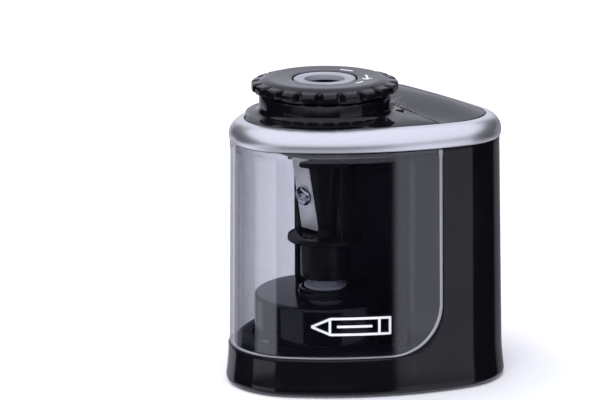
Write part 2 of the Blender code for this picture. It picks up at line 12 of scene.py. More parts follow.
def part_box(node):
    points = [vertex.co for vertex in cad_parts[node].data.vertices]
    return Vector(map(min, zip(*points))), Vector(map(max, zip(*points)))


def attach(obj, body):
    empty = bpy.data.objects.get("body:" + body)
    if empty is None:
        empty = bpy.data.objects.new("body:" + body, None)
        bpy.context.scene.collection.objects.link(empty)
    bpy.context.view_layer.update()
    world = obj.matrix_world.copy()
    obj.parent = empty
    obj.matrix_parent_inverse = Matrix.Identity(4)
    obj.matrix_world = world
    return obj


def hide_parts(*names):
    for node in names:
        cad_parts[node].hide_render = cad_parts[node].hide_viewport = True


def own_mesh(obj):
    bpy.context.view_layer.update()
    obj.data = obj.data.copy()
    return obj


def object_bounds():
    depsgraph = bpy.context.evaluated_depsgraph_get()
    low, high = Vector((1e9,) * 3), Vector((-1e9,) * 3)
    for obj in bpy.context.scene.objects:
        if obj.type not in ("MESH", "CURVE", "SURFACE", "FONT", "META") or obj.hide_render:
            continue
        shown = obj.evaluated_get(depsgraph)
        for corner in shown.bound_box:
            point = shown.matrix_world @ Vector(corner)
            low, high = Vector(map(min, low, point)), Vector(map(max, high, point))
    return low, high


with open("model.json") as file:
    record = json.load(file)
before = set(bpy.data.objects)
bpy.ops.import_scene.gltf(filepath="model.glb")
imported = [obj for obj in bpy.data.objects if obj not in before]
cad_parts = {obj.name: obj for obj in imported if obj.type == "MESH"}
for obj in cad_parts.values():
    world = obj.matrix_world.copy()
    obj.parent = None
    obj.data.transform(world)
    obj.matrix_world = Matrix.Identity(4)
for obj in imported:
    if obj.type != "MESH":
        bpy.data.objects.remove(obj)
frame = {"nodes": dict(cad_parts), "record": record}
cad_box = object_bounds()
MM = 0.001


# Studio. A pale floor runs out under a white room. What the gloss mirrors is a ring of soft upright
# panels with dark gaps between them, and a broad panel overhead.


class Wire:
    """A shader socket that takes part in Python sums; each sum adds its Math node."""

    def __init__(self, tree, socket):
        self.tree, self.socket = tree, socket

    def math(self, operation, *terms):
        node = self.tree.nodes.new("ShaderNodeMath")
        node.operation = operation
        for slot, term in zip(node.inputs, terms):
            if isinstance(term, Wire):
                self.tree.links.new(term.socket, slot)
            else:
                slot.default_value = term
        return Wire(self.tree, node.outputs[0])

    def __add__(self, other):
        return self.math("ADD", self, other)

    def __sub__(self, other):
        return self.math("SUBTRACT", self, other)

    def __rsub__(self, other):
        return self.math("SUBTRACT", other, self)

    def __mul__(self, other):
        return self.math("MULTIPLY", self, other)

    def __pow__(self, other):
        return self.math("POWER", self, other)

    __radd__ = __add__
    __rmul__ = __mul__


class Shader:
    """A node tree written from its first node to its last."""

    def __init__(self, tree):
        self.tree = tree
        tree.nodes.clear()

    def node(self, kind, settings=None, output=0, **values):
        """Adds a node: its settings, then its sockets, by name or as _0, _1; gives one output back."""
        made = self.tree.nodes.new("ShaderNode" + kind)
        for name, value in (settings or {}).items():
            setattr(made, name, value)
        for name, value in values.items():
            socket = made.inputs[int(name[1:])] if name[0] == "_" else made.inputs[name.replace("_", " ")]
            if isinstance(value, Wire):
                self.tree.links.new(value.socket, socket)
            else:
                socket.default_value = value
        return Wire(self.tree, made.outputs[output]) if made.outputs else made

    def blend(self, share, low, high):
        """A colour between two others by a mask."""
        low, high = (value if isinstance(value, Wire) else (*value, 1.0) for value in (low, high))
        return self.node("Mix", {"data_type": "RGBA"}, 2, _0=share, _6=low, _7=high)

    def step(self, value, low, high):
        """0 below low, 1 above high, smooth between them."""
        ramp = {"interpolation_type": "SMOOTHSTEP"}
        return self.node("MapRange", ramp, Value=value, From_Min=low, From_Max=high)


scene = bpy.context.scene
scene.view_settings.view_transform = "Standard"
world = bpy.data.worlds.new("studio")
scene.world = world
world.use_nodes = True
room = Shader(world.node_tree)
toward = room.node("SeparateXYZ", _0=room.node("TexCoord"))
east, north, up = (Wire(world.node_tree, socket) for socket in toward.socket.node.outputs)
bearing = north.math("ARCTAN2", north, east) * (180 / math.pi)
PANELS = (  # first and last bearing of each soft panel in degrees, lowest and highest rise, softness, glow
    (-7.5, 33.0, -0.9, -0.08, 2.0, 0.78),
    (-7.5, 33.0, -0.08, 0.5, 2.0, 0.36),
    (-1.2, 0.2, -0.9, -0.13, 0.4, 0.5),
    (92.0, 172.0, -0.9, 0.08, 5.0, 0.30),
    (120.0, 174.0, 0.08, 0.72, 6.0, 0.80),
    (-110.0, -71.0, -0.33, -0.15, 2.0, 1.9),
    (-92.0, -60.0, -0.06, 0.42, 4.0, 0.32),
    (-154.0, -112.0, -0.90, -0.34, 5.0, 4.2),
    (-180.0, -157.0, -0.33, -0.12, 2.0, 0.80),
    (-181.0, 181.0, -1.2, -0.40, 0.5, 0.42),
    (150.0, 180.0, -0.33, 0.08, 2.0, 0.50),
)
SOFT_RISE = 0.06
DARK_ROOM = 0.006  # glow of the room between its panels
OVERHEAD_GLOW = 1.6
LEAN_EAST, LEAN_NORTH = 0.34, 0.26  # the overhead panel reaches lower to the east and south
mirrored = DARK_ROOM
for first, last, low, high, edge, glow in PANELS:
    panel = room.step(bearing, first - edge, first + edge)
    panel = panel * (1 - room.step(bearing, last - edge, last + edge))
    panel = panel * room.step(up, low - SOFT_RISE, low + SOFT_RISE)
    mirrored = panel * (1 - room.step(up, high - SOFT_RISE, high + SOFT_RISE)) * glow + mirrored
overhead = room.step(up + east * LEAN_EAST - north * LEAN_NORTH, 0.35, 0.58)
mirrored = mirrored * (1 - overhead) + overhead * OVERHEAD_GLOW
lit = room.node("Background", Color=room.blend(mirrored, (0.0, 0.0, 0.0), (0.86, 0.87, 1.0)))
backdrop = room.node("Background", Color=(1.0, 1.0, 1.0, 1.0))
to_camera = room.node("LightPath")
room.node("OutputWorld", Surface=room.node("MixShader", _0=to_camera, _1=lit, _2=backdrop))


def new_finish(name):
    """An empty material, its shader, and the place on the piece in metres."""
    finish = bpy.data.materials.new(name)
    finish.use_nodes = True
    shader = Shader(finish.node_tree)
    return finish, shader, shader.node("TexCoord", output=3)


floor_mesh = bpy.data.meshes.new("floor")
bm = bmesh.new()
bmesh.ops.create_grid(bm, x_segments=1, y_segments=1, size=6.0)
bmesh.ops.translate(bm, vec=(0.0, 0.0, cad_box[0].z), verts=bm.verts)
bm.to_mesh(floor_mesh)
bm.free()
floor = bpy.data.objects.new("floor", floor_mesh)
scene.collection.objects.link(floor)
floor.visible_glossy = False
pale, shader, place = new_finish("pale_floor")
speck = shader.node("TexNoise", Vector=place, Scale=30.0)
paper = shader.node(
    "BsdfPrincipled", Base_Color=shader.blend(speck, (0.93, 0.93, 0.94), (0.95, 0.95, 0.96)), Roughness=0.9
)
shader.node("OutputMaterial", Surface=paper)
floor_mesh.materials.append(pale)

LAMPS = (  # place, size and power of each soft lamp
    ((0.1, -0.1, 1.6), 1.6, 12.0),
    ((0.9, -1.0, 0.9), 0.9, 6.0),
    ((-0.9, -0.5, 1.0), 0.9, 6.0),
)
for number, (spot, size, power) in enumerate(LAMPS, 1):
    lamp = bpy.data.lights.new(f"soft_lamp_{number}", "AREA")
    lamp.shape, lamp.size, lamp.energy = "DISK", size, power
    holder = bpy.data.objects.new(lamp.name, lamp)
    scene.collection.objects.link(holder)
    holder.location = spot
    holder.rotation_euler = (-Vector(spot)).to_track_quat("-Z", "Y").to_euler()
    holder.visible_glossy = False

axis_y = sum(corner.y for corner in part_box("spindle")) / 2
camera_data = bpy.data.cameras.new("camera")
camera_data.lens, camera_data.sensor_width = 191.7, 36.0
camera = bpy.data.objects.new("camera", camera_data)
scene.collection.objects.link(camera)
scene.camera = camera
camera.location = (0.827, axis_y - 0.561, 0.303)
ahead = Vector((-0.7952, 0.5545, -0.2453)).normalized()
across = ahead.cross((0.0, 0.0, 1.0)).normalized()
above = across.cross(ahead)
TO_LEFT, TO_TOP = 0.0203443, 0.0070736  # how far the view turns aside, as tangents
aim = ahead - TO_LEFT * across + TO_TOP * above
turn = Matrix((across, above, -ahead)).transposed()
nudge = ahead.rotation_difference(aim)
camera.rotation_euler = (nudge.to_matrix() @ turn).to_euler()


# Housing: rear shell and base band are one gloss black ABS moulding, open in front for the bin. Its plan
# is an egg of tangent arcs; the walls lean out towards the desk and flare into a rounded foot.

OUTLINE = ((0.021, 47.5), (0.094, 36.0), (0.0202, 93.0))  # radius and turn of nose, flank and corner
AROUND = 240
WALL = 1.8 * MM
BAND_STEP = 0.6 * MM  # the trim band stands this far out from the plan
BIN_GAP = 0.25 * MM  # all round the bin in its opening
band_z, cover_z = (corner.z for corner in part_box("trim_band"))
nose = axis_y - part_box("trim_band")[0].y - BAND_STEP
seam_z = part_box("shavings_bin")[0].z - BIN_GAP
WALL_DRAFT = 1.3 * MM


def egg_arcs(offset):
    """Centre, radius and headings of the plan's arcs, grown outwards by an offset."""
    x, y, heading = 0.0, -nose - offset, 0.0
    arcs = []
    for radius, turn in OUTLINE:
        reach = radius + offset
        last = heading + math.radians(turn)
        centre = (x - reach * math.sin(heading), y + reach * math.cos(heading))
        arcs.append((centre, reach, heading, last))
        x, y = centre[0] + reach * math.sin(last), centre[1] - reach * math.cos(last)
        heading = last
    reach = x / math.sin(heading)
    arcs.append(((0.0, y + reach * math.cos(heading)), reach, heading, math.pi))
    return arcs


def egg_reach(angle, offset, about=0.0):
    """Distance to the plan's outline from a point on its centre line."""
    ray_x, ray_y = math.sin(angle), -math.cos(angle)
    best = None
    for (cx, cy), radius, first, last in egg_arcs(offset):
        qx, qy = cx, cy - about
        along = qx * ray_x + qy * ray_y
        reach = along + math.sqrt(max(along**2 - qx**2 - qy**2 + radius**2, 0.0))
        heading = math.atan2(reach * ray_x - qx, qy - reach * ray_y)
        miss = max(first - heading, heading - last, 0.0)
        if best is None or miss < best[0]:
            best = (miss, reach)
    return best[1]


def egg(offset, z, about=0.0):
    """A ring of points round the plan at one height, starting at the nose."""
    points = []
    for i in range(AROUND):
        angle = 2 * math.pi * i / AROUND
        reach = egg_reach(min(angle, 2 * math.pi - angle), offset, about)
        points.append((reach * math.sin(angle), about - reach * math.cos(angle) + axis_y, z))
    return points


def round_ring(radius, z, count=AROUND):
    """A ring of points round the cutter's axis at one height, starting at the front."""
    turns = [2 * math.pi * i / count for i in range(count)]
    return [(radius * math.sin(turn), axis_y - radius * math.cos(turn), z) for turn in turns]


def sweep(rings, closed=False, capped=False):
    """Extrudes a ring of edges through each next ring; closed brings the last back to the first."""
    bm = bmesh.new()
    verts = [bm.verts.new(point) for point in rings[0]]
    edges = [bm.edges.new((vert, verts[i - 1])) for i, vert in enumerate(verts)]
    if capped:
        bmesh.ops.contextual_create(bm, geom=edges)
    for ring in rings[1:] + (rings[:1] if closed else []):
        made = bmesh.ops.extrude_edge_only(bm, edges=edges)["geom"]
        fresh = {item for item in made if isinstance(item, bmesh.types.BMVert)}
        verts = [next(e.other_vert(v) for e in v.link_edges if e.other_vert(v) in fresh) for v in verts]
        edges = [bm.edges.get((vert, verts[i - 1])) for i, vert in enumerate(verts)]
        for vert, point in zip(verts, ring):
            vert.co = point
    if capped:
        bmesh.ops.contextual_create(bm, geom=edges)
    bmesh.ops.remove_doubles(bm, verts=bm.verts, dist=1e-7)
    return bm


def prism(outline, low, high, axis=2):
    """A flat outline extruded along one axis of the frame."""
    bm = bmesh.new()
    verts = []
    for a, b in outline:
        point = [a, b]
        point.insert(axis, low)
        verts.append(bm.verts.new(point))
    face = bm.faces.new(verts)
    swept = bmesh.ops.extrude_face_region(bm, geom=[face])["geom"]
    away = [0.0, 0.0, 0.0]
    away[axis] = high - low
    tips = [item for item in swept if isinstance(item, bmesh.types.BMVert)]
    bmesh.ops.translate(bm, vec=away, verts=tips)
    return bm


def piece(name, bm, body, finish, replaces=(), sharp=40):
    """A finished piece from its bmesh, with its body, slot, material and the CAD nodes it stands for."""
    mesh = bpy.data.meshes.new(name)
    bmesh.ops.recalc_face_normals(bm, faces=bm.faces)
    bm.to_mesh(mesh)
    bm.free()
    mesh.materials.append(finish)
    mesh.shade_smooth()
    mesh.set_sharp_from_angle(angle=math.radians(sharp))
    made = bpy.data.objects.new(name, mesh)
    scene.collection.objects.link(made)
    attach(made, body)
    if replaces:
        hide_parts(*replaces)
    return made


def apply_modifiers(made, sharp=40):
    """Takes a piece's modifiers into its mesh, and marks its edges sharp or smooth again."""
    bpy.context.view_layer.update()
    mesh = bpy.data.meshes.new_from_object(made.evaluated_get(bpy.context.evaluated_depsgraph_get()))
    made.modifiers.clear()
    made.data = mesh
    mesh.shade_smooth()
    mesh.set_sharp_from_angle(angle=math.radians(sharp))


def cut(made, tool_bm, operation="DIFFERENCE"):
    """Cuts a piece with another shape, or keeps only what lies inside it."""
    mesh = bpy.data.meshes.new("tool")
    bmesh.ops.recalc_face_normals(tool_bm, faces=tool_bm.faces)
    tool_bm.to_mesh(mesh)
    tool_bm.free()
    tool = bpy.data.objects.new("tool", mesh)
    scene.collection.objects.link(tool)
    step = made.modifiers.new("cut", "BOOLEAN")
    step.operation, step.object, step.solver = operation, tool, "EXACT"
    apply_modifiers(made)
    bpy.data.objects.remove(tool)


def soften(made, width, segments=2, angle=50, sharp=40, harden=False):
    """Rounds a piece's sharp edges."""
    step = made.modifiers.new("edge", "BEVEL")
    step.width, step.segments = width, segments
    step.limit_method, step.angle_limit = "ANGLE", math.radians(angle)
    step.harden_normals = harden
    apply_modifiers(made, sharp)


def moulded(name, colour, roughness, haze=0.05, grain=0.02, mirror=1.46):
    """Moulded plastic: faint flow marks in colour and gloss, and a very fine ripple."""
    finish, shader, place = new_finish(name)
    cloud = shader.node("TexNoise", Vector=place, Scale=60.0, Detail=4.0)
    fine = shader.node("TexNoise", Vector=place, Scale=2600.0, Detail=3.0)
    lighter = [min(1.0, value * 1.35 + 0.001) for value in colour]
    surface = shader.node(
        "BsdfPrincipled",
        Base_Color=shader.blend(shader.step(cloud, 0.35, 0.75), colour, lighter),
        Roughness=(cloud - 0.5) * haze + (fine - 0.5) * (haze / 2) + roughness,
        IOR=mirror,
        Normal=shader.node("Bump", Strength=grain, Distance=0.0002, Height=fine),
    )
    shader.node("OutputMaterial", Surface=surface)
    return finish


OPENING_BACK = 19.0 * MM  # from the cutter's axis to the opening's rear edge
OPENING_CORNER = 16.5 * MM
PAST_TOP, PAST_NOSE, PAST_SIDE = 0.12, -0.07, 0.06  # well clear of the housing


def window_block(gap):
    """The bin's opening seen from the side: straight at the back, round at its lower rear corner."""
    edge, low, corner = axis_y + OPENING_BACK - gap, seam_z + gap, OPENING_CORNER - gap
    outline = [(edge, PAST_TOP), (PAST_NOSE, PAST_TOP), (PAST_NOSE, low)]
    for i in range(25):
        turn = math.radians(-90 + 90 * i / 24)
        outline.append((edge - corner + corner * math.cos(turn), low + corner + corner * math.sin(turn)))
    return prism(outline, -PAST_SIDE, PAST_SIDE, axis=0)


black_gloss = moulded("gloss_black_abs", (0.0032, 0.0032, 0.0048), 0.085, haze=0.05, grain=0.012)
foot_z, wall_top = (corner.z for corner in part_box("main_housing"))
FOOT_ROUND = 1.5 * MM
FOOT_OUT = 2.2 * MM
FLARE = 1.6  # power of the base's curve out to its foot
INNER_FLOOR = 3.4 * MM
rings = []
for i in range(7):
    turn = math.radians(90 - 15 * i)
    out = FOOT_OUT - FOOT_ROUND * (1 - math.cos(turn))
    rings.append(egg(out, foot_z + FOOT_ROUND * (1 - math.sin(turn))))
for i in range(1, 9):
    share = i / 8
    out = WALL_DRAFT + (FOOT_OUT - WALL_DRAFT) * (1 - share) ** FLARE
    rings.append(egg(out, foot_z + FOOT_ROUND + (seam_z - foot_z - FOOT_ROUND) * share))
for share in (0.25, 0.5, 0.75, 0.985, 1.0):  # the close pair keeps the wall's gloss flat up to its rim
    rings.append(egg(WALL_DRAFT * (1 - share), seam_z + (wall_top - seam_z) * share))
inside = ((-WALL, wall_top), (WALL_DRAFT - WALL, seam_z), (-WALL, INNER_FLOOR), (-WALL, foot_z))
rings += [egg(offset, z) for offset, z in inside]
shell = sweep(rings, closed=True)
housing = piece("housing_shell", shell, "housing", black_gloss, ["main_housing"])
cut(housing, window_block(0.0))
soften(housing, 0.3 * MM)


# Shavings bin: one smoke-clear polycarbonate moulding with polished faces, a bead along its top and two
# fences inside. It draws out forwards, so its floor is slotted for the gearbox drum.


def clear_plastic(name, body, cover, gloss=0.025, mirror=5.4):
    """Tinted clear plastic: the tint covers a little of what is behind, more towards the edges."""
    finish, shader, place = new_finish(name)
    smear = shader.node("TexNoise", Vector=place, Scale=45.0, Detail=5.0)
    dust = shader.node("TexNoise", Vector=place, Scale=1100.0, Detail=2.0)
    through = shader.node("BsdfTransparent", Color=(0.935, 0.94, 0.965, 1.0))
    polished = shader.node(
        "BsdfPrincipled",
        Base_Color=shader.blend(smear, body, [1.4 * value for value in body]),
        Roughness=smear * 0.04 + shader.step(dust, 0.62, 0.8) * 0.05 + gloss,
        IOR=mirror,
    )
    facing = shader.node("LayerWeight", output=1, Blend=0.5)
    share = facing**3.0 * (1.0 - cover) + smear * 0.02 + (cover - 0.01)
    shader.node("OutputMaterial", Surface=shader.node("MixShader", _0=share, _1=through, _2=polished))
    return finish


smoke_clear = clear_plastic("smoke_clear_polycarbonate", (0.010, 0.010, 0.020), 0.13)
smoke_satin = clear_plastic("smoke_clear_satin_floor", (0.004, 0.004, 0.006), 0.60, gloss=0.34, mirror=1.30)
# A pale, nearly opaque copy of the smoke-clear plastic, painted on the bin's edges as a highlight.
painted_edge_highlight = clear_plastic("smoke_clear_painted_edge_highlight", (0.80, 0.80, 0.84), 0.80, gloss=0.08, mirror=2.0)
bin_low, bin_top = seam_z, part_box("shavings_bin")[1].z
BIN_OUT = 0.87 * MM
BIN_WALL = 1.5 * MM
BEAD = 2.2 * MM


def bin_out(z):
    """How far the bin's outer face stands out from the plan at a height."""
    return BIN_OUT * (bin_top - z) / (bin_top - bin_low)


ROW_SHARES = (0.0, 0.02, 0.25, 0.5, 0.75, 0.98, 1.0)  # close pairs keep the gloss flat up to each edge
BEAD_OUT = 0.22 * MM
wall_rows = [bin_low + (bin_top - BEAD - bin_low) * share for share in ROW_SHARES]
rings = [egg(bin_out(z), z) for z in wall_rows]
bead = (
    (0.0, BEAD - 0.1 * MM), (BEAD_OUT, BEAD - 0.35 * MM), (BEAD_OUT, 0.3 * MM), (0.0, 0.0), (-WALL, 0.0),
)
rings += [egg(bin_out(bin_top - drop) + out, bin_top - drop) for out, drop in bead]
rings += [egg(-WALL, bin_top - BEAD), egg(-BIN_WALL, bin_top - BEAD - 0.4 * MM)]
rings += [egg(bin_out(z) - BIN_WALL, z) for z in wall_rows[-2::-1]]
shell = sweep(rings, closed=True)
bin_wall = piece("bin_window", shell, "bin", smoke_clear, ["shavings_bin"])
cut(bin_wall, window_block(BIN_GAP), "INTERSECT")
soften(bin_wall, 0.35 * MM)
bin_wall.data.materials.append(painted_edge_highlight)
CORNER_FROM = 2.0 * MM  # behind the cutter's axis the lower edge begins to curve up
REAR_EDGE_FROM = 15.0 * MM
LOWER_EDGE = 1.0 * MM
UNDER_BEAD = 4.0 * MM
FACES_BACK, FACES_ASIDE, FACES_DOWN = 0.55, 0.88, 0.12  # how far a face's normal leans that way
for face in bin_wall.data.polygons:  # painted highlight: the bin's rear, lower and rounded edge faces take a pale copy of the clear plastic
    behind, rise = face.center.y - axis_y, face.center.z - bin_low
    downward = max(-face.normal.z, 0.0)
    at_rear = behind > CORNER_FROM and max(face.normal.y, 0.0) + downward > FACES_BACK
    rounded = behind > REAR_EDGE_FROM and abs(face.normal.x) < FACES_ASIDE
    underside = (behind > CORNER_FROM or rise < LOWER_EDGE) and downward > FACES_DOWN
    if (at_rear or rounded or underside) and face.center.z < bin_top - UNDER_BEAD:
        face.material_index = 1

DRUM_R = 23.0 * MM
SLOT_R = DRUM_R + 0.9 * MM
FLOOR_HALF = 32.2 * MM
FLOOR_IN = 0.95 * MM  # the floor's rim runs inside the bin's wall
floor_low, floor_high = bin_low + 0.25 * MM, bin_low + 1.8 * MM
rear_edge = axis_y + 18.0 * MM
around = [(max(-FLOOR_HALF, min(FLOOR_HALF, x)), min(y, rear_edge)) for x, y, _ in egg(-FLOOR_IN, 0.0)]
rings = [[(x, y, z) for x, y in around] for z in (floor_low, floor_high)]
plate = sweep(rings, capped=True)
bin_floor = piece("bin_floor", plate, "bin", smoke_satin, ["shavings_bin"])
SLOT_END = axis_y + 40.0 * MM  # the slot runs out past the floor's rear edge
slot = [(-SLOT_R, SLOT_END)]
for i in range(49):
    turn = math.pi * (1 + i / 48)
    slot.append((SLOT_R * math.cos(turn), axis_y + SLOT_R * math.sin(turn)))
slot.append((SLOT_R, SLOT_END))
cut(bin_floor, prism(slot, 0.0, 30.0 * MM))
soften(bin_floor, 0.3 * MM)

FENCE_Z = 24.0 * MM
FENCE_REACH = 30.3 * MM
fence_back = axis_y + 17.0 * MM
fence_front = fence_back - 1.6 * MM
for side, name in ((-1, "left"), (1, "right")):
    near, far = sorted((side * SLOT_R, side * FENCE_REACH))
    fence = [(near, fence_front), (far, fence_front), (far, fence_back), (near, fence_back)]
    bm = prism(fence, floor_high, FENCE_Z)
    wall = piece(f"bin_fence_{name}", bm, "bin", smoke_satin, ["shavings_bin"])
    soften(wall, 0.4 * MM)


# Mark on the bin: a plain outlined pencil, printed in white on the right face. The ink is a thin layer
# that follows the wall.

INK = 0.05 * MM
STROKE = 0.8 * MM
FLANK_R, FLANK_START = OUTLINE[1][0], math.radians(OUTLINE[0][1])
MARK_AT = (7.2 * MM, 20.4 * MM)  # along the flank from its start, and above the desk
PENCIL = (  # each stroke's two ends in the mark's own millimetres
    ((6.4, 5.6), (25.4, 5.6)),
    ((6.4, 0.4), (25.4, 0.4)),
    ((0.6, 3.0), (6.6, 5.6)),
    ((0.6, 3.0), (6.6, 0.4)),
    ((6.4, 0.4), (6.4, 5.6)),
    ((22.0, 0.4), (22.0, 5.6)),
    ((25.4, 0.1), (25.4, 5.9)),
    ((8.6, 3.0), (19.8, 3.0)),
)
white_ink = moulded("white_ink", (0.66, 0.66, 0.67), 0.45, haze=0.1, grain=0.1)


def on_wall(along, z, lift):
    """A point on the bin's right face, from a distance along the plan and a height."""
    heading = FLANK_START + along / FLANK_R
    (cx, cy), reach = egg_arcs(bin_out(z) + lift)[1][:2]
    return (cx + reach * math.sin(heading), cy - reach * math.cos(heading) + axis_y, z)


def printed(name, strokes, place_on, body):
    """Strokes of ink: each is a strip of short steps, laid on a surface and given its thickness."""
    bm = bmesh.new()
    for start, end in strokes:
        start, end = Vector(start) * MM, Vector(end) * MM
        run = end - start
        beside = Vector((-run.y, run.x)).normalized() * STROKE / 2
        steps = max(2, round(run.length / (0.8 * MM)))
        corners = []
        for lift in (INK * 0.4, INK * 1.4):
            for side in (-1, 1):
                points = [start + run * (i / steps) + beside * side for i in range(steps + 1)]
                corners.append([place_on(point, lift) for point in points])
        rings = [[corners[k][i] for k in (0, 1, 3, 2)] for i in range(steps + 1)]
        strip = sweep(rings, capped=True)
        mesh = bpy.data.meshes.new("strip")
        bmesh.ops.recalc_face_normals(strip, faces=strip.faces)
        strip.to_mesh(mesh)
        strip.free()
        bm.from_mesh(mesh)
        bpy.data.meshes.remove(mesh)
    return piece(name, bm, body, white_ink)


printed("pencil_mark", PENCIL, lambda p, lift: on_wall(MARK_AT[0] + p.x, MARK_AT[1] + p.y, lift), "bin")


# Trim band: a hollow ABS moulding painted satin silver, with metal flake in the paint. It stands a little
# proud of the walls and rolls in over the top covers.


def silver_paint(name):
    """Satin paint: fine metal flakes, each with its own tone, under a smooth skin."""
    finish, shader, place = new_finish(name)
    cells = shader.node("TexVoronoi", output=1, Vector=place, Scale=4200.0)
    flake = shader.node("SeparateColor", Color=cells)
    cloud = shader.node("TexNoise", Vector=place, Scale=90.0, Detail=5.0)
    fine = shader.node("TexNoise", Vector=place, Scale=2400.0, Detail=3.0)
    tone = flake * 0.5 + cloud * 0.3 + fine * 0.2
    surface = shader.node(
        "BsdfPrincipled",
        Base_Color=shader.blend(tone, (0.77, 0.77, 0.81), (0.90, 0.90, 0.94)),
        Metallic=0.92,
        Roughness=flake * 0.03 + cloud * 0.03 + 0.31,
        Normal=shader.node("Bump", Strength=0.014, Distance=0.0002, Height=fine),
    )
    shader.node("OutputMaterial", Surface=surface)
    return finish


satin_silver = silver_paint("satin_silver_paint")
TRIM_IN = 4.3 * MM
TRIM_OUT = 0.58 * MM
LIP_IN = TRIM_IN + 0.12 * MM
shoulder = band_z + 1.7 * MM
lower_roll = ((-0.2, 0.0), (0.1, 0.05), (0.3, 0.3), (0.48, 0.8))
profile = [(out * MM, band_z + lift * MM) for out, lift in lower_roll]
for i in range(19):
    turn = math.radians(5 * i)
    out = TRIM_OUT - (TRIM_IN + TRIM_OUT) * (1 - math.cos(turn))
    profile.append((out, shoulder + (cover_z - shoulder) * math.sin(turn)))
profile += [(-LIP_IN, cover_z - 0.15 * MM), (-LIP_IN, cover_z - 1.6 * MM)]
profile += [(-2.4 * MM, cover_z - 3.6 * MM), (-2.4 * MM, band_z)]
trim = sweep([egg(out, z) for out, z in profile], closed=True)
piece("trim_ring", trim, "housing", satin_silver, ["trim_band"], sharp=50)


# Top covers: the front one carries the knob's collar and the rear one is a low dome, both gloss black.
# They meet on a gently bowed seam and drop into the trim band with a fine gap.

SEAM_R = 278.0 * MM
SEAM_Y = 23.0 * MM
SEAM_GAP = 0.2 * MM
COLLAR_R = 21.05 * MM
FILLET = 2.2 * MM
FILLET_FOOT = 0.9 * MM
COVER_IN = -TRIM_IN - 0.35 * MM
COVER_THICK = 2.2 * MM
BORE_R = 15.6 * MM
boss_z, collar_z = (corner.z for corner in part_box("front_cover"))
PAST_ENDS, UNDER_COVERS, OVER_COVERS = 0.09, 0.06, 0.11  # well clear of the covers


def side_of_seam(rear):
    """All that lies before or behind the seam, less half its gap."""
    reach = SEAM_R + (SEAM_GAP if rear else -SEAM_GAP)
    turns = [math.radians(78 + i) for i in range(25)]
    centre_y = axis_y + SEAM_Y - SEAM_R
    points = [(reach * math.cos(turn), centre_y + reach * math.sin(turn)) for turn in turns]
    far = PAST_ENDS if rear else -PAST_ENDS
    return prism(points + [(points[-1][0], far), (points[0][0], far)], UNDER_COVERS, OVER_COVERS)


rim = ((0.0, -COVER_THICK), (0.0, -0.3 * MM), (-0.1 * MM, -0.1 * MM), (-0.35 * MM, 0.0))
rings = [egg(COVER_IN + out, cover_z + lift) for out, lift in rim]
slope = ((25.4, 0.55), (24.2, 0.78))
rings += [round_ring(radius * MM, cover_z + lift * MM) for radius, lift in slope]
for i in range(1, 10):
    turn = math.radians(10 * i)
    rise = FILLET_FOOT + FILLET * (1 - math.cos(turn))
    rings.append(round_ring(COLLAR_R + FILLET * (1 - math.sin(turn)), cover_z + rise))
collar = (
    (COLLAR_R, collar_z - 0.6 * MM),
    (COLLAR_R - 0.12 * MM, collar_z - 0.25 * MM),
    (COLLAR_R - 0.5 * MM, collar_z),
    (BORE_R, collar_z),
    (BORE_R - 1.1 * MM, boss_z),
    (BORE_R, boss_z),
    (BORE_R + 0.3 * MM, boss_z + 0.3 * MM),
    (BORE_R + 0.3 * MM, cover_z - 2.8 * MM),
    (COLLAR_R, cover_z - COVER_THICK),
)
rings += [round_ring(radius, z) for radius, z in collar]
shell = sweep(rings, closed=True)
front = piece("front_top", shell, "housing", black_gloss, ["front_cover"])
cut(front, side_of_seam(rear=False), "INTERSECT")
soften(front, 0.25 * MM, angle=60, harden=True)

INDEX_TURN = math.radians(55.0)
INDEX = ((22.7, -0.45), (25.3, -0.3), (25.3, 0.3), (22.7, 0.45))  # a raised line beside the knob
bm = prism([(x * MM, y * MM) for x, y in INDEX], cover_z + 0.3 * MM, cover_z + 1.2 * MM)
bmesh.ops.rotate(bm, cent=(0, 0, 0), matrix=Matrix.Rotation(INDEX_TURN, 3, "Z"), verts=bm.verts)
bmesh.ops.translate(bm, vec=(0.0, axis_y, 0.0), verts=bm.verts)
soften(piece("lock_index", bm, "housing", black_gloss), 0.2 * MM, segments=3)

CROWN_Y = 33.0 * MM
CROWN = 3.2 * MM
FALL_FROM, FALL_RUN = 5.0 * MM, 15.0 * MM  # where the dome starts to fall forwards, and over what length
SEAM_FALL = 0.82  # share of the crown that is gone where the rear cover meets the front one
DOME_SHARES = (0.996, 0.985, 0.96, 0.92, 0.86, 0.78, 0.68, 0.56, 0.43, 0.29, 0.15, 0.04)


def dome_z(x, y):
    """Height of the rear cover: highest behind its middle, lower towards the front seam."""
    back = y - axis_y - CROWN_Y
    share = math.hypot(x, back) / egg_reach(math.atan2(abs(x), -back), COVER_IN, CROWN_Y)
    fallen = min(max(FALL_FROM - back, 0.0) / FALL_RUN, 1.0)
    return cover_z + CROWN * (1 - share**2.2) * (1 - SEAM_FALL * fallen**1.6)


rim = egg(COVER_IN, 0.0, CROWN_Y)
rings = [[(x, y, cover_z - drop) for x, y, _ in rim] for drop in (COVER_THICK, 0.3 * MM)]
for share in DOME_SHARES:
    points = [(x * share, axis_y + CROWN_Y + (y - axis_y - CROWN_Y) * share) for x, y, _ in rim]
    rings.append([(x, y, dome_z(x, y)) for x, y in points])
rear = piece("rear_dome", sweep(rings, capped=True), "housing", black_gloss, ["rear_cover"])
cut(rear, side_of_seam(rear=True), "INTERSECT")
soften(rear, 0.25 * MM, angle=60, harden=True)


# Knob: a gloss black crowned disc with a rim of rounded finger lugs, and a skirt down inside the collar.
# A light grey ABS bush is pressed into its middle round the pencil's hole.

LUGS = 21
PER_LUG = 14
LUG_FACE, LUG_ROUND = 0.56, 0.34  # shares of half a lug's pitch: its face, and the round down to the notch
HOLE_R = 6.4 * MM
BUSH_R = 9.95 * MM
knob_low, knob_top = collar_z + 0.3 * MM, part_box("knob")[1].z
skirt_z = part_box("knob")[0].z


